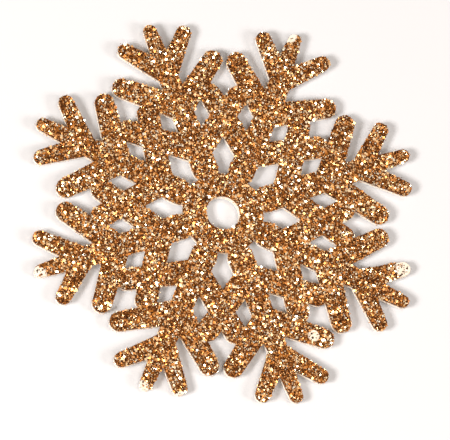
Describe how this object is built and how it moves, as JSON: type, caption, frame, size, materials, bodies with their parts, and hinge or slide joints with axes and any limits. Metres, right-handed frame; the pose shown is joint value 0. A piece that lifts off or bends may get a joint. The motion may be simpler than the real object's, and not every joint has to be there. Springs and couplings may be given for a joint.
{
  "type": "glitter snowflake star",
  "caption": "Flat die-cut card snowflake star with branched arms round a middle hole, its face coated in copper glitter; a seasonal decoration.",
  "frame": {"origin": "centre of the middle hole, on the bare back face of the board", "axes": "+Z out of the glittered face, +X along arm_1; the other arms follow anticlockwise every 45 degrees"},
  "size_m": [0.0998, 0.1, 0.0021],
  "materials": {
    "board": "bare pressed board, pale cream, fine fibres",
    "liner_paper": "matt uncoated cream-white facing paper",
    "dried_glue": "dried clear craft glue, satin, slightly warm",
    "glitter": "packed metallised copper film glitter, mirror-bright flakes at mixed angles",
    "coarse_glitter": "loose-standing coarse hexagonal flakes of metallised copper film"
  },
  "bodies": {
    "root": {"card_core": "board", "front_liner": "liner_paper", "glue_film": "dried_glue", "glitter_coat": "glitter", "hub_flakes": "coarse_glitter", "arm_1_flakes": "coarse_glitter", "arm_2_flakes": "coarse_glitter", "arm_3_flakes": "coarse_glitter", "arm_4_flakes": "coarse_glitter", "arm_5_flakes": "coarse_glitter", "arm_6_flakes": "coarse_glitter", "arm_7_flakes": "coarse_glitter", "arm_8_flakes": "coarse_glitter"}
  },
  "joints": []
}
